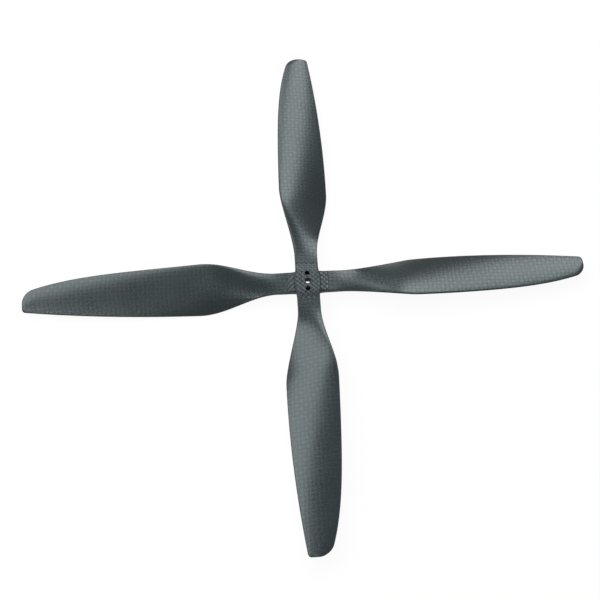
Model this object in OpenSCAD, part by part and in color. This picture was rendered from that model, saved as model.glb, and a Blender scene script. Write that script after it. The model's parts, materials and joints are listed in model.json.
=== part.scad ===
// A matched pair of two-blade carbon fibre propellers, crossed, the upper hub lying on the lower one.
// The lower one turns clockwise seen from above, and the upper one is its mirror image.
// The origin is on the lower shaft hole at mid hub, +Z goes up that hole, +X along a lower blade.
// Each propeller is two woven skins bonded round a hub block, two spars and four foam cores,
// with a thin reinforcing patch on the top and the bottom of the hub.

/* [Propeller] */
// Diameter from tip to tip (15 inch)
diameter = 381; // [310:1:470]
// Advance in one turn (6 inch)
pitch = 152.4; // [100:0.1:190]
// Distance from the blade axis to the leading edge at the widest place
lead_max = 17.1; // [13:0.1:21]
// Distance from the blade axis to the trailing edge at the widest place
trail_max = 18.7; // [15:0.1:23]
// Distance from the axis at which the two edges start to draw in towards the tip
taper_start = 61; // [50:0.1:90]
// Straight narrowing of the leading side from there to the tip
lead_taper = 5.1; // [3:0.1:8]
// Further narrowing of the leading side, gathered at the tip
lead_sweep = 8.9; // [3:0.1:10]
// Narrowing of the trailing side from there to the tip
trail_taper = 8.1; // [4:0.1:9]
// Radius of the tip's leading corner
lead_corner = 7; // [2:0.1:8]
// Radius of the tip's trailing corner
trail_corner = 2.2; // [0.5:0.1:2.8]

/* [Root of the blade] */
// Width of the neck between hub and blade
neck_w = 15.2; // [13:0.1:18.5]
// How far the hub swells past the neck on each side
hub_swell = 1.5; // [0:0.1:3]
// Distance from the axis at which that swelling has ended
swell_end = 12; // [8:0.5:14]
// Distance from the axis at which the blade starts to widen
widen_start = 20.5; // [17:0.5:26]
// Distance from the axis at which the blade has its full width
widen_end = 73.5; // [60:0.5:90]
// Distance from the axis at which the blade starts to twist
twist_start = 20; // [16:0.5:25]
// Distance from the axis at which the blade has its full pitch angle
twist_end = 67; // [55:0.5:80]
// How far the blade axis drops below the middle of the hub
blade_drop = 0.8; // [0:0.1:2]
// Distance from the axis at which that drop is complete
drop_end = 75; // [50:1:90]

/* [Thickness] */
// Thickness of the whole hub, patches included
hub_t = 4; // [3.4:0.1:6]
// Thickness of each hub patch
patch_t = 0.4; // [0.2:0.05:0.6]
// Thickness of the blade at the tip
tip_t = 1.2; // [1:0.05:1.8]
// Thickness of the leading and trailing edges
edge_t = 0.7; // [0.5:0.05:0.9]
// Thickness of each woven skin
skin_t = 0.5; // [0.3:0.05:0.8]
// Height of the camber as a share of the chord
camber = 0.035; // [0:0.005:0.06]
// Place of the thickest point along the chord, from the leading edge
crest = 0.36; // [0.3:0.01:0.45]

/* [Inside] */
// Distance from the axis to each end of the hub block
block_end = 22; // [18:0.5:28]
// Distance from the tip at which the spar and the cores end
core_margin = 65; // [50:1:90]

/* [Hub] */
// Half length of the flat part of the hub, which the patches cover
hub_flat = 14; // [12:0.5:15.5]
// How far the edge of a patch stays inside the edge of the hub
patch_inset = 0.4; // [0.2:0.1:1]
// Diameter of the shaft hole
shaft_hole_d = 4; // [3:0.1:6]
// Diameter of each screw hole
screw_hole_d = 3.2; // [2:0.1:4]
// Distance between the two screw holes
screw_pitch = 12; // [9.5:0.1:15]

/* [How the pair lies] */
// Angle from the lower blades to the upper blades
cross_angle = 88.4; // [75:0.1:105]
// Shift of the upper hub along X
lay_x = -0.6; // [-3:0.1:3]
// Shift of the upper hub along Y
lay_y = -1.8; // [-3:0.1:3]

/* [Hidden] */

radius = diameter / 2;
core_end = radius - core_margin;
tip_start = radius - lead_corner;
body_t = hub_t - 2 * patch_t;
// Powers of the curves that narrow the two sides and thin the blade
lead_power = 4.8;
trail_power = 2.2;
thin_power = 1.6;
// Distance from the axis at which the square hub section has become a full blade section
foil_start = 45;
// Distance over which the skins close from the cores to each other
seal_w = 0.6;
// Steps along the hub, the cores, the outer blade and the tip corner
hub_steps = 5;
core_steps = 11;
outer_steps = 5;
corner_steps = 5;
// The lines along the blade, as shares of the chord, where they cross the hub and out on the blade.
// Between them lie, in turn: edge, seal, nose core (2), spar, tail core (2), seal, edge.
hub_lines = [0, 0.08, 0.11, 0.26, 0.4, 0.6, 0.74, 0.89, 0.92, 1];
blade_lines = [0, 0.06, 0.08, 0.15, 0.23, 0.43, 0.63, 0.84, 0.86, 1];
last_line = len(hub_lines) - 1;
first_core_line = 2;
spar_front_line = 4;
spar_back_line = 5;
last_core_line = 7;
carbon = [0.2, 0.23, 0.23];
plies = [0.25, 0.28, 0.28];
straight_fibre = [0.12, 0.12, 0.13];
foam = [0.85, 0.8, 0.66];

// Rules of the blade

function ease(t) = let (u = min(max(t, 0), 1)) u * u * (3 - 2 * u);
function mix(a, b, t) = a + (b - a) * t;

// Pitch angle at a distance r from the axis
function twist(r) = r <= twist_start
    ? 0
    : atan(pitch / (2 * PI * r)) * ease((r - twist_start) / (twist_end - twist_start));

// 0 at the neck, 1 where the blade has its full width
function widened(r) = ease((r - widen_start) / (widen_end - widen_start));

// 0 where the edges start to draw in, 1 at the tip
function outward(r) = min(max((r - taper_start) / (radius - taper_start), 0), 1);

// What a round corner takes off a side near the tip
function corner_cut(r, size) = let (x = r - (radius - size))
    x <= 0 ? 0 : size - sqrt(max(size * size - x * x, 0));

function swell(r) = hub_swell * (1 - ease(r / swell_end));

// Distances from the blade axis to the two edges
function lead(r) = let (t = outward(r))
    mix(neck_w / 2, lead_max, widened(r)) + swell(r)
    - lead_taper * t - lead_sweep * pow(t, lead_power) - corner_cut(r, lead_corner);
function trail(r) =
    mix(neck_w / 2, trail_max, widened(r)) + swell(r)
    - trail_taper * pow(outward(r), trail_power) - corner_cut(r, trail_corner);

// Thickest place of the section at r, square at the hub and a foil on the blade
function thickness(r) =
    mix(tip_t, body_t, pow(min((radius - r) / (radius - hub_flat), 1), thin_power));
function foil(c) =
    sqrt(c / crest) * pow((1 - c) / (1 - crest), (1 - crest) / crest / 2);
function shaped(r) = ease((r - hub_flat) / (foil_start - hub_flat));
function outer_half(r, c) =
    mix(edge_t / 2, thickness(r) / 2, mix(1, foil(c), shaped(r)));

// Half the height of what lies between the skins, none outside the cores
function inner_half(r, c, line) =
    r > core_end || line < first_core_line || line > last_core_line
        ? 0
        : let (h = outer_half(r, c)) max(h - skin_t, h / 4);

// A point of the section at r on one line, at a level made of the outer and the inner half height
function section_point(r, line, level) = let (
    c = mix(hub_lines[line], blade_lines[line], shaped(r)),
    chord = lead(r) + trail(r),
    along = c * chord - lead(r),
    bow = camber * chord * 4 * c * (1 - c) * shaped(r),
    up = bow + level[0] * outer_half(r, c) + level[1] * inner_half(r, c, line),
    drop = blade_drop * ease((r - hub_flat) / (drop_end - hub_flat)),
    a = twist(r))
    [r, along * cos(a) + up * sin(a), up * cos(a) - along * sin(a) - drop];

// The other blade is the same one turned half round
function grid_point(s, line, level) = s >= 0
    ? section_point(s, line, level)
    : let (p = section_point(-s, last_line - line, level)) [-p[0], -p[1], p[2]];

block_stations = [for (i = [0 : hub_steps]) i * block_end / hub_steps];
core_stations = [for (i = [0 : core_steps]) mix(block_end, core_end, i / core_steps)];
outer_stations = [for (i = [0 : outer_steps]) mix(core_end + seal_w, tip_start, i / outer_steps)];
corner_stations = [for (i = [1 : corner_steps]) tip_start + lead_corner * sin(90 * i / corner_steps)];
blade_stations = concat(tail_of(core_stations), outer_stations, corner_stations);

function tail_of(list) = [for (i = [1 : len(list) - 1]) list[i]];
function turned(list) = [for (i = [len(list) - 1 : -1 : 0]) -list[i]];
// A list of distances carried on through the axis to the other blade
function both_ways(list) = concat(turned(tail_of(list)), list);

// Solids made on the grid

OUTSIDE = [1, 0];
UNDERSIDE = [-1, 0];
ROOF = [0, 1];
FLOOR = [0, -1];

// A closed solid between two levels, over some stations and some lines
module slab(stations, first, last, low, high) {
    m = last - first + 1;
    n = len(stations);
    count = n * m;
    points = [for (level = [low, high]) for (s = stations) for (line = [first : last])
        grid_point(s, line, level)];
    cells = [for (i = [0 : n - 2]) for (j = [0 : m - 2]) i * m + j];
    roof = [for (a = cells) for (t = [[a, a + 1, a + m + 1], [a, a + m + 1, a + m]]) t + count * [1, 1, 1]];
    floor = [for (a = cells) for (t = [[a, a + m + 1, a + 1], [a, a + m, a + m + 1]]) t];
    ring = concat(
        [for (i = [0 : n - 2]) i * m],
        [for (j = [0 : m - 2]) (n - 1) * m + j],
        [for (i = [n - 1 : -1 : 1]) i * m + m - 1],
        [for (j = [m - 1 : -1 : 1]) j]);
    // The diagonal of a wall goes up the same way from either side, so neighbours meet without a sliver
    walls = [for (k = [0 : len(ring) - 1]) let (p = ring[k], q = ring[(k + 1) % len(ring)])
        for (t = p < q
            ? [[p, p + count, q + count], [p, q + count, q]]
            : [[p, p + count, q], [p + count, q + count, q]]) t];
    polyhedron(points, concat(floor, roof, walls));
}

// The shaft hole and the two screw holes, cut through everything at the hub
module holes() {
    for (x = [-screw_pitch / 2, screw_pitch / 2]) translate([x, 0, -hub_t])
        cylinder(d = screw_hole_d, h = 2 * hub_t, $fn = 48);
    translate([0, 0, -hub_t])
        cylinder(d = shaft_hole_d, h = 2 * hub_t, $fn = 48);
}

module skin(low, high) {
    color(carbon) difference() {
        slab(both_ways(concat(block_stations, blade_stations)), 0, last_line, low, high);
        holes();
    }
}

module top_skin() {
    skin(ROOF, OUTSIDE);
}

module bottom_skin() {
    skin(UNDERSIDE, FLOOR);
}

module hub_block() {
    color(plies) difference() {
        slab(both_ways(block_stations), first_core_line, last_core_line, FLOOR, ROOF);
        holes();
    }
}

// A piece inside one blade, between two lines of the grid
module blade_insert(way, first, last) {
    if (way > 0)
        slab(core_stations, first, last, FLOOR, ROOF);
    else
        slab(turned(core_stations), last_line - last, last_line - first, FLOOR, ROOF);
}

module spar(way) {
    color(straight_fibre) blade_insert(way, spar_front_line, spar_back_line);
}

module nose_core(way) {
    color(foam) blade_insert(way, first_core_line, spar_front_line);
}

module tail_core(way) {
    color(foam) blade_insert(way, spar_back_line, last_core_line);
}

// A thin plate with the outline of the hub, which lies on the skin from bottom_z up
module hub_patch(bottom_z) {
    steps = 16;
    side = [for (i = [-steps : steps]) let (x = i * hub_flat / steps) [x, lead(abs(x)) - patch_inset]];
    outline = concat(side, [for (i = [len(side) - 1 : -1 : 0]) [side[i][0], -side[i][1]]]);
    color(plies) difference() {
        translate([0, 0, bottom_z]) linear_extrude(patch_t) polygon(outline);
        holes();
    }
}

module hub_patch_top() {
    hub_patch(body_t / 2);
}

module hub_patch_bottom() {
    hub_patch(-hub_t / 2);
}

// The two propellers

module lower() {
    children();
}

module upper() {
    translate([lay_x, lay_y, hub_t]) rotate([0, 0, cross_angle]) mirror([0, 1, 0]) children();
}

module lower_top_skin() { lower() top_skin(); }
module lower_bottom_skin() { lower() bottom_skin(); }
module lower_hub_patch_top() { lower() hub_patch_top(); }
module lower_hub_patch_bottom() { lower() hub_patch_bottom(); }
module lower_hub_block() { lower() hub_block(); }
module lower_spar_first() { lower() spar(1); }
module lower_spar_second() { lower() spar(-1); }
module lower_nose_core_first() { lower() nose_core(1); }
module lower_nose_core_second() { lower() nose_core(-1); }
module lower_tail_core_first() { lower() tail_core(1); }
module lower_tail_core_second() { lower() tail_core(-1); }
module upper_top_skin() { upper() top_skin(); }
module upper_bottom_skin() { upper() bottom_skin(); }
module upper_hub_patch_top() { upper() hub_patch_top(); }
module upper_hub_patch_bottom() { upper() hub_patch_bottom(); }
module upper_hub_block() { upper() hub_block(); }
module upper_spar_first() { upper() spar(1); }
module upper_spar_second() { upper() spar(-1); }
module upper_nose_core_first() { upper() nose_core(1); }
module upper_nose_core_second() { upper() nose_core(-1); }
module upper_tail_core_first() { upper() tail_core(1); }
module upper_tail_core_second() { upper() tail_core(-1); }

lower_top_skin();
lower_bottom_skin();
lower_hub_patch_top();
lower_hub_patch_bottom();
lower_hub_block();
lower_spar_first();
lower_spar_second();
lower_nose_core_first();
lower_nose_core_second();
lower_tail_core_first();
lower_tail_core_second();
upper_top_skin();
upper_bottom_skin();
upper_hub_patch_top();
upper_hub_patch_bottom();
upper_hub_block();
upper_spar_first();
upper_spar_second();
upper_nose_core_first();
upper_nose_core_second();
upper_tail_core_first();
upper_tail_core_second();
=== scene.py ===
import json
import math

import bpy
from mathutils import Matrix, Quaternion, Vector


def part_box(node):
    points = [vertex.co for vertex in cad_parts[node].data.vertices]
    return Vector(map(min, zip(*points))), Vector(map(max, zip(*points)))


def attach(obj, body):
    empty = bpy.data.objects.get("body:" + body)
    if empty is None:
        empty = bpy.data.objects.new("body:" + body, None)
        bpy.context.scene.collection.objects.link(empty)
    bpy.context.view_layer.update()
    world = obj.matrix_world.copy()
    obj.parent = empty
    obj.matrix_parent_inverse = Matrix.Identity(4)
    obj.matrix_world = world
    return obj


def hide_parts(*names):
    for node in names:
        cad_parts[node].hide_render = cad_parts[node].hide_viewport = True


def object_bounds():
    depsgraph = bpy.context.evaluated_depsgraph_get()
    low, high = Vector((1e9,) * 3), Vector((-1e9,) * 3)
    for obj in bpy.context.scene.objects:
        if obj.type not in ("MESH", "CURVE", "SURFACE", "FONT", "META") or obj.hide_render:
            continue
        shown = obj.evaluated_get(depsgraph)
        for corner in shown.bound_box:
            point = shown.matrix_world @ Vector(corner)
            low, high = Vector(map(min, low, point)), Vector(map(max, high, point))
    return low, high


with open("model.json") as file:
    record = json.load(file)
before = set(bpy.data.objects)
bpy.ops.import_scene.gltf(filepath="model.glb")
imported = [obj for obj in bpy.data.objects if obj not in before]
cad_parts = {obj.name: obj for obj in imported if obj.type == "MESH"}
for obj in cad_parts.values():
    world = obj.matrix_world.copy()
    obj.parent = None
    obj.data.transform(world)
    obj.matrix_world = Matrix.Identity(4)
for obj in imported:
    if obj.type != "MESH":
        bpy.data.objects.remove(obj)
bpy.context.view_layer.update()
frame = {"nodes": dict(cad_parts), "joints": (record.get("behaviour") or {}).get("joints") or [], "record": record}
print("frame loaded:", len(frame["nodes"]), "nodes")

mm = 0.001
lowerBody, upperBody = "lower_propeller", "upper_propeller"
turn = next(j for j in frame["joints"] if j["name"] == "upper_turn")
mounts = {mount["name"]: mount for mount in frame["record"]["mounts"]}
shaftHole = mounts["lower_shaft_hole"]["dims"]["r_mm"] * mm
screwHole = mounts["lower_screw_hole_first"]["dims"]["r_mm"] * mm
screwPitch = 2 * mounts["lower_screw_hole_first"]["pos_m"][0]


# Nodes, for shapes and finishes alike

class Wire:
    # A socket's value. Sums, products and so on of wires and numbers add their Math nodes.
    def __init__(self, sheet, socket):
        self.sheet = sheet
        self.socket = socket

    def out(self, name):
        return Wire(self.sheet, self.socket.node.outputs[name])

    def do(self, operation, *others):
        return self.sheet.add("ShaderNodeMath", {"operation": operation}, dict(enumerate([self, *others])))

    def __add__(self, other):
        return self.do("ADD", other)

    def __sub__(self, other):
        return self.do("SUBTRACT", other)

    def __mul__(self, other):
        return self.do("MULTIPLY", other)

    def __truediv__(self, other):
        return self.do("DIVIDE", other)

    def __pow__(self, other):
        return self.do("POWER", other)

    def __rsub__(self, other):
        return self.sheet.number(other) - self

    def __rtruediv__(self, other):
        return self.sheet.number(other) / self

    __radd__ = __add__
    __rmul__ = __mul__


class Sheet:
    # A node tree, and the one way that nodes are added to it.
    def __init__(self, tree):
        self.tree = tree

    def add(self, kind, settings=None, sockets=None, out=0):
        node = self.tree.nodes.new(kind)
        for key, value in (settings or {}).items():
            if key == "stops":
                self.setStops(node.color_ramp, value)
            elif key == "items":
                for itemKind, name in value:
                    node.capture_items.new(itemKind, name)
            else:
                setattr(node, key, value)
        for key, value in (sockets or {}).items():
            for one in value if isinstance(value, list) else [value]:
                if isinstance(one, Wire):
                    self.tree.links.new(one.socket, node.inputs[key])
                else:
                    node.inputs[key].default_value = one
        return Wire(self, node.outputs[out]) if len(node.outputs) else None

    def setStops(self, ramp, stops):
        while len(ramp.elements) < len(stops):
            ramp.elements.new(0.5)
        for element, (place, colour) in zip(ramp.elements, stops):
            element.position = place
            element.color = (*colour, 1)

    def number(self, value):
        return self.add("ShaderNodeMath", {"operation": "ADD"}, {0: value, 1: 0.0})

    def ease(self, value, start, end):
        # 0 up to start, 1 from end on, and smooth between them
        return self.add("ShaderNodeMapRange", {"interpolation_type": "SMOOTHSTEP"},
                        {"Value": value, "From Min": start, "From Max": end})

    def mix(self, a, b, factor):
        return a + (b - a) * factor

    def vector(self, x, y, z):
        return self.add("ShaderNodeCombineXYZ", {}, {"X": x, "Y": y, "Z": z})

    def split(self, vector):
        parts = self.add("ShaderNodeSeparateXYZ", {}, {"Vector": vector})
        return parts, parts.out("Y"), parts.out("Z")


# The blades' shape

bladeShape = {
    "Radius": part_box("lower_top_skin")[1].x,
    "Advance": 152.4 * mm,          # how far one turn would carry it
    "Neck Half": 7.6 * mm,
    "Swell": 1.5 * mm,              # the hub's swelling past the neck
    "Swell End": 12 * mm,
    "Lead Max": 17.1 * mm,
    "Trail Max": 18.7 * mm,
    "Widen Start": 20.5 * mm,
    "Widen End": 73.5 * mm,
    "Twist Start": 20 * mm,
    "Twist End": 67 * mm,
    "Taper Start": 61 * mm,
    "Lead Taper": 5.1 * mm,
    "Lead Sweep": 8.9 * mm,
    "Lead Power": 4.8,
    "Trail Taper": 8.1 * mm,
    "Trail Power": 2.2,
    "Lead Corner": 7 * mm,
    "Trail Corner": 2.2 * mm,
    "Hub Flat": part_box("lower_hub_patch_top")[1].x,
    "Foil Start": 45 * mm,
    "Drop": 0.8 * mm,
    "Drop End": 75 * mm,
    "Body Half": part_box("lower_hub_patch_top")[0].z,
    "Tip Half": 0.6 * mm,
    "Thin Power": 1.6,
    "Edge Half": 0.35 * mm,
    "Edge Round": 0.28 * mm,
    "Camber": 0.035,
    "Crest": 0.36,
    "Skin": 0.5 * mm,
    "Core End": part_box("lower_spar_first")[1].x,
    "Seal": 0.6 * mm,
    "Shaft Hole": shaftHole,
    "Screw Hole": screwHole,
    "Screw Pitch": screwPitch,
}
bladeGrid = {"Stations": 401, "Lines": 57}
crossAngle = math.radians(88.4)


def bladePoint(sheet, size, grid, hand, outer, inner):
    # A point of a propeller's surface. The grid's x runs from tip to tip and its y across the blade.
    # outer and inner say how many outer and inner half heights it lies above the middle surface.
    gridX, gridY, _ = sheet.split(grid)
    s = size["Radius"] * (gridX * math.pi).do("SINE")
    r = s.do("ABSOLUTE")
    side = hand * (1 - 2 * s.do("LESS_THAN", 0.0))
    c = 0.5 + side * 0.5 * (gridY * math.pi).do("SINE")

    widened = sheet.ease(r, size["Widen Start"], size["Widen End"])
    shaped = sheet.ease(r, size["Hub Flat"], size["Foil Start"])
    outward = ((r - size["Taper Start"]) / (size["Radius"] - size["Taper Start"])).do("MAXIMUM", 0.0)
    swell = size["Swell"] * (1 - sheet.ease(r, 0.0, size["Swell End"]))

    def cornerCut(corner):
        past = (r - size["Radius"] + corner).do("MAXIMUM", 0.0)
        return corner - (corner * corner - past * past).do("MAXIMUM", 0.0).do("SQRT")

    lead = (sheet.mix(size["Neck Half"], size["Lead Max"], widened) + swell
            - size["Lead Taper"] * outward - size["Lead Sweep"] * outward ** size["Lead Power"]
            - cornerCut(size["Lead Corner"]))
    trail = (sheet.mix(size["Neck Half"], size["Trail Max"], widened) + swell
             - size["Trail Taper"] * outward ** size["Trail Power"] - cornerCut(size["Trail Corner"]))
    chord = lead + trail
    along = c * chord - lead

    thin = ((size["Radius"] - r) / (size["Radius"] - size["Hub Flat"])).do("MINIMUM", 1.0)
    half = sheet.mix(size["Tip Half"], size["Body Half"], thin ** size["Thin Power"])
    foil = ((c / size["Crest"]).do("SQRT")
            * ((1 - c) / (1 - size["Crest"])) ** ((1 - size["Crest"]) / size["Crest"] / 2))
    height = sheet.mix(size["Edge Half"], half, sheet.mix(1.0, foil, shaped))

    # Every edge is rounded over a small radius
    fromEdge = (c * chord).do("MINIMUM", (1 - c) * chord).do("MINIMUM", size["Radius"] - r)
    short = (size["Edge Round"] - fromEdge).do("MAXIMUM", 0.0)
    rounded = (size["Edge Round"] * size["Edge Round"] - short * short).do("MAXIMUM", 0.0).do("SQRT")
    outerHalf = height - size["Edge Round"] + rounded

    # The hollow for block, spars and cores
    inFront = sheet.ease(c, sheet.mix(0.08, 0.06, shaped), sheet.mix(0.11, 0.08, shaped))
    behind = sheet.ease(c, sheet.mix(0.92, 0.86, shaped), sheet.mix(0.89, 0.84, shaped))
    within = sheet.ease(r, size["Core End"] + size["Seal"], size["Core End"])
    innerHalf = (height - size["Skin"]).do("MAXIMUM", height / 4) * inFront * behind * within

    bow = size["Camber"] * chord * 4 * c * (1 - c) * shaped
    up = bow + outer * outerHalf + inner * innerHalf
    drop = size["Drop"] * sheet.ease(r, size["Hub Flat"], size["Drop End"])
    angle = ((size["Advance"] / (2 * math.pi * r.do("MAXIMUM", mm))).do("ARCTANGENT")
             * sheet.ease(r, size["Twist Start"], size["Twist End"]))
    cosine, sine = angle.do("COSINE"), angle.do("SINE")
    place = sheet.vector(s, side * (along * cosine + up * sine), up * cosine - along * sine - drop)
    cloth = sheet.vector(s, side * along, fromEdge)
    return place, cloth


def newShapeTree(name, numbers):
    # A tree with named inputs, and a sheet and its inputs to build it with
    tree = bpy.data.node_groups.new(name, "GeometryNodeTree")
    tree.interface.new_socket("Geometry", in_out="INPUT", socket_type="NodeSocketGeometry")
    tree.interface.new_socket("Geometry", in_out="OUTPUT", socket_type="NodeSocketGeometry")
    kinds = {"Stations": "Int", "Lines": "Int", "Material": "Material", "Lie": "Vector", "Turn": "Vector"}
    kinds.update({number: "Float" for number in numbers})
    for socket, kind in kinds.items():
        tree.interface.new_socket(socket, in_out="INPUT", socket_type="NodeSocket" + kind)
    sheet = Sheet(tree)
    inputs = sheet.add("NodeGroupInput")
    return tree, sheet, {socket: inputs.out(socket) for socket in kinds}


def catchGrid(sheet, size):
    # A flat grid one metre square that remembers where each of its points lay
    grid = sheet.add("GeometryNodeMeshGrid", {}, {
        "Size X": 1.0, "Size Y": 1.0, "Vertices X": size["Stations"], "Vertices Y": size["Lines"]})
    return sheet.add("GeometryNodeCaptureAttribute", {"items": [("VECTOR", "grid")]}, {
        "Geometry": grid, "grid": sheet.add("GeometryNodeInputPosition")})


def closePlate(sheet, size, caught, lowPlace, highPlace, cloth):
    # A closed plate between two places of the grid, drilled, laid in place and given its finish
    marked = sheet.add("GeometryNodeStoreNamedAttribute", {"data_type": "FLOAT_VECTOR", "domain": "POINT"}, {
        "Geometry": caught, "Name": "cloth", "Value": cloth})
    low = sheet.add("GeometryNodeSetPosition", {}, {"Geometry": marked, "Position": lowPlace})
    raised = sheet.add("GeometryNodeExtrudeMesh", {"mode": "FACES"}, {
        "Mesh": low, "Offset Scale": 0.0, "Individual": False})
    high = sheet.add("GeometryNodeSetPosition", {}, {
        "Geometry": raised, "Selection": raised.out("Top"), "Position": highPlace})
    under = sheet.add("GeometryNodeFlipFaces", {}, {"Mesh": low})
    both = sheet.add("GeometryNodeJoinGeometry", {}, {"Geometry": [high, under]})
    closed = sheet.add("GeometryNodeMergeByDistance", {}, {"Geometry": both, "Distance": 0.0005 * mm})

    def drill(radius, x):
        bit = sheet.add("GeometryNodeMeshCylinder", {}, {
            "Vertices": 96, "Radius": radius, "Depth": size["Body Half"] * 6})
        return sheet.add("GeometryNodeTransform", {}, {
            "Geometry": bit, "Translation": sheet.vector(x, 0.0, 0.0)})

    bits = [drill(size["Shaft Hole"], 0.0), drill(size["Screw Hole"], size["Screw Pitch"] / 2),
            drill(size["Screw Hole"], size["Screw Pitch"] / -2)]
    drilled = sheet.add("GeometryNodeMeshBoolean", {"operation": "DIFFERENCE", "solver": "MANIFOLD"}, {
        "Mesh 1": closed, "Mesh 2": bits})
    soft = sheet.add("GeometryNodeSetShadeSmooth", {"domain": "FACE"}, {"Geometry": drilled, "Shade Smooth": True})
    sharp = sheet.add("GeometryNodeInputMeshEdgeAngle").do("GREATER_THAN", math.radians(35))
    smooth = sheet.add("GeometryNodeSetShadeSmooth", {"domain": "EDGE"}, {
        "Geometry": soft, "Selection": sharp, "Shade Smooth": False})
    lying = sheet.add("GeometryNodeTransform", {}, {
        "Geometry": smooth, "Translation": size["Lie"], "Rotation": size["Turn"]})
    real = sheet.add("GeometryNodeRealizeInstances", {}, {"Geometry": lying})
    done = sheet.add("GeometryNodeSetMaterial", {}, {"Geometry": real, "Material": size["Material"]})
    sheet.add("NodeGroupOutput", {}, {"Geometry": done})


def skinTree():
    tree, sheet, size = newShapeTree("propeller skin", [
        "Hand", "Low Outer", "Low Inner", "High Outer", "High Inner", *bladeShape])
    caught = catchGrid(sheet, size)
    grid = caught.out("grid")
    lowPlace, cloth = bladePoint(sheet, size, grid, size["Hand"], size["Low Outer"], size["Low Inner"])
    highPlace, _ = bladePoint(sheet, size, grid, size["Hand"], size["High Outer"], size["High Inner"])
    closePlate(sheet, size, caught, lowPlace, highPlace, cloth)
    return tree


patchShape = {
    "Thickness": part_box("lower_hub_patch_top")[1].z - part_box("lower_hub_patch_top")[0].z,
    "Inset": 0.4 * mm,              # from the side of the hub
    "End Taper": 7 * mm,            # the plies thin out towards both ends
    "Side Round": 0.35 * mm,
    "Least": 0.05 * mm,             # thickness left at the rim
}
patchGrid = {"Stations": 141, "Lines": 71}


def patchTree():
    # The thin plies that cover the flat of the hub, rounded at the sides and thinned at the ends
    tree, sheet, size = newShapeTree("hub patch", [*patchShape, *bladeShape])
    caught = catchGrid(sheet, size)
    gridX, gridY, _ = sheet.split(caught.out("grid"))
    x = size["Hub Flat"] * (gridX * math.pi).do("SINE")
    r = x.do("ABSOLUTE")
    half = size["Neck Half"] - size["Inset"] + size["Swell"] * (1 - sheet.ease(r, 0.0, size["Swell End"]))
    y = half * (gridY * math.pi).do("SINE")
    fromEnd = size["Hub Flat"] - r
    fromSide = half - y.do("ABSOLUTE")
    taper = sheet.ease(fromEnd, 0.0, size["End Taper"])
    short = (size["Side Round"] - fromSide).do("MAXIMUM", 0.0) / size["Side Round"]
    rounded = (1 - short * short).do("MAXIMUM", 0.0).do("SQRT")
    height = size["Body Half"] + size["Least"] + (size["Thickness"] - size["Least"]) * taper * rounded
    cloth = sheet.vector(x, y, fromSide.do("MINIMUM", fromEnd))
    closePlate(sheet, size, caught, sheet.vector(x, y, size["Body Half"]), sheet.vector(x, y, height), cloth)
    return tree


def makeByTree(name, tree, values):
    # Runs a tree on an empty mesh and keeps its result as a plain mesh
    holder = bpy.data.objects.new(name + " maker", bpy.data.meshes.new(name + " maker"))
    bpy.context.scene.collection.objects.link(holder)
    modifier = holder.modifiers.new("make", "NODES")
    modifier.node_group = tree
    for item in tree.interface.items_tree:
        if item.item_type == "SOCKET" and item.in_out == "INPUT" and item.name in values:
            modifier[item.identifier] = values[item.name]
    evaluated = holder.evaluated_get(bpy.context.evaluated_depsgraph_get())
    mesh = bpy.data.meshes.new_from_object(evaluated)
    holder.modifiers.remove(modifier)
    bpy.data.objects.remove(holder)
    mesh.name = name
    piece = bpy.data.objects.new(name, mesh)
    bpy.context.scene.collection.objects.link(piece)
    return piece


# Finishes

def newMaterial(name):
    material = bpy.data.materials.new(name)
    material.use_nodes = True
    material.node_tree.nodes.clear()
    return material, Sheet(material.node_tree)


carbon = {
    "fibre": (0.019, 0.0265, 0.029),
    "fibreTint": (0.85, 0.99, 1.0, 1),  # of the shine
    "shine": 0.85,
    "tow": 2.9 * mm,                # width of one flat bundle of fibres
    "painted_weave_sheen": 0.5,               # strength of the painted sheen and shade between the crown of a bundle and the dips beside it
    "roughness": 0.25,
    "relief": 0.022 * mm,
    "waves": 0.10 * mm,             # slow unevenness left by the mould
    "dull_shaded_rim": 0.9 * mm,               # width of the dull, trimmed edge, whose colour is also darkened as painted shade
}
# The hub's light of 0.75 is painted shade: its bias plies are coloured darker in place of the weaker shine of fibres
# laid at 45 degrees
cloths = {
    "blade": {"bias": 0.0, "tow": 1.0, "light": 1.0, "roughness": 0.0, "painted_weave_sheen": 1.0, "relief": 1.0},
    "hub": {"bias": math.radians(45), "tow": 0.85, "light": 0.75, "roughness": 0.05, "painted_weave_sheen": 1.8, "relief": 6.0},
}


def clothPattern(sheet, x, y):
    # Plain weave of unit bundles: its height, and 1 where a lengthwise bundle lies on top
    across, down = x.do("FRACT"), y.do("FRACT")
    lengthwise = (x.do("FLOOR") + y.do("FLOOR")).do("MODULO", 2.0).do("ABSOLUTE")
    ripple = ((across - 0.5) * math.pi).do("COSINE")
    other = ((down - 0.5) * math.pi).do("COSINE")
    height = sheet.mix(ripple * 0.65 + other * 0.35, other * 0.65 + ripple * 0.35, lengthwise)
    return height, lengthwise


def tinted(sheet, colour, amount):
    # A colour made lighter or darker by a value
    grey = sheet.add("ShaderNodeCombineColor", {}, {key: amount for key in ("Red", "Green", "Blue")})
    return sheet.add("ShaderNodeMix", {"data_type": "RGBA", "blend_type": "MULTIPLY"}, {
        "Factor": 1.0, 6: colour, 7: grey}, out=2)


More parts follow.
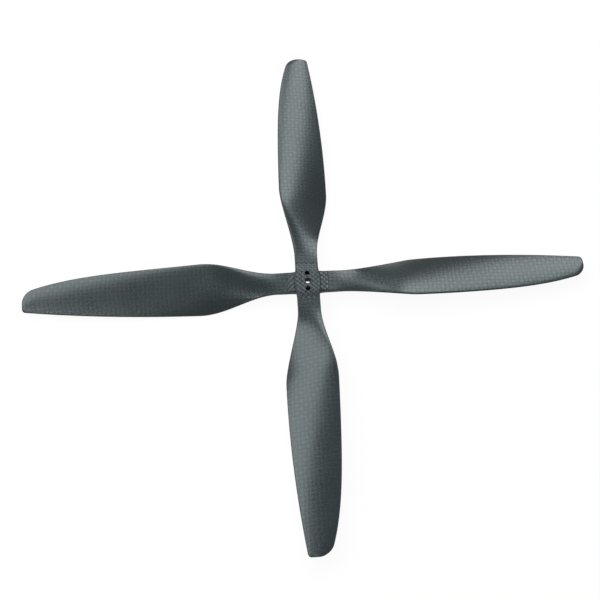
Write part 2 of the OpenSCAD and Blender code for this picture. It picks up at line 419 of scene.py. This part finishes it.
def wovenMaterial(name, cloth):
    material, sheet = newMaterial(name)
    place = sheet.add("ShaderNodeAttribute", {"attribute_name": "cloth"}, {}, out="Vector")
    fromEdge = sheet.split(place)[2]
    tow = carbon["tow"] * cloth["tow"]
    turned = sheet.add("ShaderNodeMapping", {}, {"Vector": place, "Rotation": (0, 0, cloth["bias"])})
    # The bundles wander a little
    stray = sheet.add("ShaderNodeTexNoise", {"noise_dimensions": "3D"}, {"Vector": place, "Scale": 60.0, "Detail": 1.0})
    x, y, _ = sheet.split(turned)
    height, lengthwise = clothPattern(sheet, x / tow + stray * 0.8, y / tow + stray * 0.8)
    cloudy = sheet.add("ShaderNodeTexNoise", {}, {"Vector": place, "Scale": 28.0, "Detail": 3.0})
    grain = sheet.add("ShaderNodeTexNoise", {}, {"Vector": place, "Scale": 700.0, "Detail": 2.0})
    # Painted shade along every edge: over the rim's width the colour is darkened to draw a dark outline, and the
    # trimmed edge is also made rougher
    dull_shaded_rim = 1 - sheet.ease(fromEdge, 0.0, carbon["dull_shaded_rim"])
    painted_weave_sheen = carbon["painted_weave_sheen"] * cloth["painted_weave_sheen"]
    # Painted sheen and shade: lengthwise bundles and the crowns of bundles are coloured lighter and the dips between
    # them darker, in place of the fibres' shine; the cloudy noise adds a random tone
    amount = (1 + painted_weave_sheen * 0.4 * (lengthwise - 0.5) + painted_weave_sheen * 1.3 * (height - 0.65)) * (0.75 + cloudy * 0.5)
    waves = sheet.add("ShaderNodeBump", {}, {
        "Strength": 1.0, "Distance": carbon["waves"], "Height": cloudy})
    relief = sheet.add("ShaderNodeBump", {}, {
        "Strength": 1.0, "Distance": carbon["relief"] * cloth["relief"], "Height": height + grain * 0.5, "Normal": waves})
    # The base colour carries the painted sheen and shade of the weave, the hub's painted shade and the painted dark rim
    shader = sheet.add("ShaderNodeBsdfPrincipled", {}, {
        "Base Color": tinted(sheet, (*carbon["fibre"], 1), amount * cloth["light"] * (1 - dull_shaded_rim * 0.5)),
        "Roughness": (carbon["roughness"] + cloth["roughness"] + (cloudy - 0.5) * 0.12
                      + (0.65 - height) * 0.12 + (0.5 - lengthwise) * 0.03 + (grain - 0.5) * 0.1 + dull_shaded_rim * 0.4),
        "Specular IOR Level": carbon["shine"], "Specular Tint": carbon["fibreTint"], "Normal": relief})
    sheet.add("ShaderNodeOutputMaterial", {}, {"Surface": shader})
    return material


inside = {
    "laminate": {"colour": (0.03, 0.034, 0.036), "ply": 0.22 * mm, "roughness": 0.5},
    "straight": {"colour": (0.022, 0.024, 0.027), "streak": 2500.0, "roughness": 0.34},
    "foam": {"colour": (0.62, 0.56, 0.42), "cell": 2200.0, "roughness": 0.85},
}


def laminateMaterial():
    # Sawn plies, seen as thin layers in the walls of the holes
    material, sheet = newMaterial("laminate")
    spot = sheet.add("ShaderNodeTexCoord").out("Object")
    layer = (sheet.split(spot)[2] / inside["laminate"]["ply"] * math.tau).do("SINE")
    grain = sheet.add("ShaderNodeTexNoise", {}, {"Vector": spot, "Scale": 1500.0, "Detail": 2.0})
    amount = 0.85 + layer * 0.2 + grain * 0.3
    relief = sheet.add("ShaderNodeBump", {}, {"Strength": 0.6, "Distance": 0.03 * mm, "Height": layer * 0.5 + grain})
    shader = sheet.add("ShaderNodeBsdfPrincipled", {}, {
        "Base Color": tinted(sheet, (*inside["laminate"]["colour"], 1), amount),
        "Roughness": inside["laminate"]["roughness"] + (grain - 0.5) * 0.2, "Normal": relief})
    sheet.add("ShaderNodeOutputMaterial", {}, {"Surface": shader})
    return material


def straightMaterial(name, turned):
    # Fibres that all run along the blade
    material, sheet = newMaterial(name)
    spot = sheet.add("ShaderNodeTexCoord").out("Object")
    along = sheet.add("ShaderNodeMapping", {}, {"Vector": spot, "Rotation": (0, 0, -turned)})
    drawn = sheet.add("ShaderNodeMapping", {}, {"Vector": along, "Scale": (0.02, 1, 1)})
    streak = sheet.add("ShaderNodeTexNoise", {}, {
        "Vector": drawn, "Scale": inside["straight"]["streak"], "Detail": 3.0})
    relief = sheet.add("ShaderNodeBump", {}, {"Strength": 0.5, "Distance": 0.03 * mm, "Height": streak})
    shader = sheet.add("ShaderNodeBsdfPrincipled", {}, {
        "Base Color": tinted(sheet, (*inside["straight"]["colour"], 1), 0.6 + streak * 0.8),
        "Roughness": inside["straight"]["roughness"] + (streak - 0.5) * 0.2, "Normal": relief})
    sheet.add("ShaderNodeOutputMaterial", {}, {"Surface": shader})
    return material


def foamMaterial():
    material, sheet = newMaterial("foam")
    spot = sheet.add("ShaderNodeTexCoord").out("Object")
    cells = sheet.add("ShaderNodeTexVoronoi", {}, {"Vector": spot, "Scale": inside["foam"]["cell"]})
    drift = sheet.add("ShaderNodeTexNoise", {}, {"Vector": spot, "Scale": 60.0, "Detail": 2.0})
    relief = sheet.add("ShaderNodeBump", {}, {"Strength": 0.7, "Distance": 0.1 * mm, "Height": cells})
    shader = sheet.add("ShaderNodeBsdfPrincipled", {}, {
        "Base Color": tinted(sheet, (*inside["foam"]["colour"], 1), 0.9 + drift * 0.2 - cells * 0.15),
        "Roughness": inside["foam"]["roughness"] + (drift - 0.5) * 0.1, "Normal": relief})
    sheet.add("ShaderNodeOutputMaterial", {}, {"Surface": shader})
    return material


bladeCarbon = wovenMaterial("woven carbon", cloths["blade"])
hubCarbon = wovenMaterial("bias carbon", cloths["hub"])
laminate, foam = laminateMaterial(), foamMaterial()
straight = {
    "lower": straightMaterial("straight carbon", 0.0),
    "upper": straightMaterial("straight carbon across", crossAngle),
}
print("finishes made")

# The two propellers

lay = {
    "lower": {"body": lowerBody, "Hand": 1.0, "Lie": (0, 0, 0), "turned": 0.0},
    "upper": {"body": upperBody, "Hand": -1.0, "Lie": tuple(turn["pos_m"]), "turned": crossAngle},
}
skins = {
    "top_skin": {"Low Outer": 0.0, "Low Inner": 1.0, "High Outer": 1.0, "High Inner": 0.0},
    "bottom_skin": {"Low Outer": -1.0, "Low Inner": 0.0, "High Outer": 0.0, "High Inner": -1.0},
}
patches = {"hub_patch_top": 0.0, "hub_patch_bottom": math.pi}   # turned over about the blades' axis


def keepPiece(piece, node, body):
    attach(piece, body)
    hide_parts(node)
    print(piece.name, len(piece.data.polygons), "faces")


skinRule, patchRule = skinTree(), patchTree()
for propeller, place in lay.items():
    shared = {**bladeShape, "Lie": place["Lie"]}
    for skin, levels in skins.items():
        node = f"{propeller}_{skin}"
        keepPiece(makeByTree(node + "_cloth", skinRule, {
            **shared, **bladeGrid, **levels, "Hand": place["Hand"], "Turn": (0, 0, place["turned"]),
            "Material": bladeCarbon}), node, place["body"])
    for patch, over in patches.items():
        node = f"{propeller}_{patch}"
        keepPiece(makeByTree(node + "_plies", patchRule, {
            **shared, **patchShape, **patchGrid, "Turn": (over, 0, place["turned"]),
            "Material": hubCarbon}), node, place["body"])

for name, node in frame["nodes"].items():
    finish = {"block": laminate, "core": foam, "spar": straight[name.split("_")[0]]}
    kind = next((word for word in finish if word in name), None)
    node.data.materials.clear()
    node.data.materials.append(finish.get(kind, bladeCarbon))
print("blocks, spars and cores finished")

# Camera, light and floor

eye = {
    "aim": Vector((-6.45 * mm, -13.12 * mm, 0)),
    "distance": 905.5 * mm,
    "elevation": math.radians(60.62),
    "heading": math.radians(-9.28),
    "roll": math.radians(5.1),
    "lens": 81.28,
    "sensor": 36,
}


def makeCamera():
    camera = bpy.data.objects.new("camera", bpy.data.cameras.new("camera"))
    bpy.context.scene.collection.objects.link(camera)
    camera.data.lens = eye["lens"]
    camera.data.sensor_width = eye["sensor"]
    camera.data.clip_start, camera.data.clip_end = 0.01, 50
    back = Vector((0, -math.cos(eye["elevation"]), math.sin(eye["elevation"])))
    back.rotate(Quaternion((0, 0, 1), eye["heading"]))
    camera.location = eye["aim"] + back * eye["distance"]
    camera.rotation_mode = "QUATERNION"
    camera.rotation_quaternion = (-back).to_track_quat("-Z", "Y") @ Quaternion((0, 0, 1), eye["roll"])
    bpy.context.scene.camera = camera


studio = {
    "floorHalf": 6.0,
    "floorDrop": 0.2 * mm,          # below the lowest point
    "floorColour": (0.9, 0.9, 0.9, 1),
    "paleness": 0.9,                # how much of the shadow the pale floor swallows
    "glow": 1.04,
    "sky": 0.29,
}
# Soft boxes: azimuth from +Y towards +X and elevation in degrees, sizes in metres, and radiance
lamps = {
    "far box": {"azimuth": 25, "elevation": 40.5, "distance": 4.0, "size": (1.28, 2.6), "radiance": 3.25},
    "near box": {"azimuth": -53, "elevation": 47, "distance": 0.7, "size": (1.18, 0.42), "radiance": 2.6},
    "top strip": {"azimuth": -114, "elevation": 76, "distance": 1.9, "size": (1.06, 0.12), "radiance": 4.2},
}


def makeFloor():
    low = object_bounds()[0].z - studio["floorDrop"]
    mesh = bpy.data.meshes.new("floor")
    half = studio["floorHalf"]
    corners = [(x * half, y * half, low) for x, y in ((-1, -1), (1, -1), (1, 1), (-1, 1))]
    mesh.from_pydata(corners, [], [(0, 1, 2, 3)])
    floor = bpy.data.objects.new("floor", mesh)
    bpy.context.scene.collection.objects.link(floor)
    material, sheet = newMaterial("floor")
    plain = sheet.add("ShaderNodeBsdfDiffuse", {}, {"Color": studio["floorColour"]})
    ray = sheet.add("ShaderNodeLightPath")
    seen = (ray + ray.out("Is Glossy Ray") + ray.out("Is Transmission Ray")).do("MINIMUM", 1.0)
    glow = sheet.add("ShaderNodeEmission", {}, {"Color": (1, 1, 1, 1), "Strength": studio["glow"]})
    both = sheet.add("ShaderNodeMixShader", {}, {"Fac": seen * studio["paleness"], 1: plain, 2: glow})
    sheet.add("ShaderNodeOutputMaterial", {}, {"Surface": both})
    mesh.materials.append(material)


def makeLamp(name, box):
    lamp = bpy.data.objects.new(name, bpy.data.lights.new(name, "AREA"))
    bpy.context.scene.collection.objects.link(lamp)
    azimuth, elevation = math.radians(box["azimuth"]), math.radians(box["elevation"])
    toward = Vector((math.sin(azimuth) * math.cos(elevation), math.cos(azimuth) * math.cos(elevation),
                     math.sin(elevation)))
    lamp.location = toward * box["distance"]
    lamp.rotation_mode = "QUATERNION"
    lamp.rotation_quaternion = toward.to_track_quat("Z", "Y")
    lamp.visible_camera = False
    lamp.data.shape = "RECTANGLE"
    lamp.data.size, lamp.data.size_y = box["size"]
    lamp.data.energy = math.pi * box["radiance"] * box["size"][0] * box["size"][1]


def makeLight():
    world = bpy.data.worlds.new("studio")
    bpy.context.scene.world = world
    world.use_nodes = True
    world.node_tree.nodes.clear()
    sheet = Sheet(world.node_tree)
    sky = sheet.add("ShaderNodeBackground", {}, {"Color": (1, 1, 1, 1), "Strength": studio["sky"]})
    sheet.add("ShaderNodeOutputWorld", {}, {"Surface": sky})
    for name, box in lamps.items():
        makeLamp(name, box)


makeCamera()
makeFloor()
makeLight()
bpy.context.scene.view_settings.view_transform = "Standard"
print("camera, floor and light made")
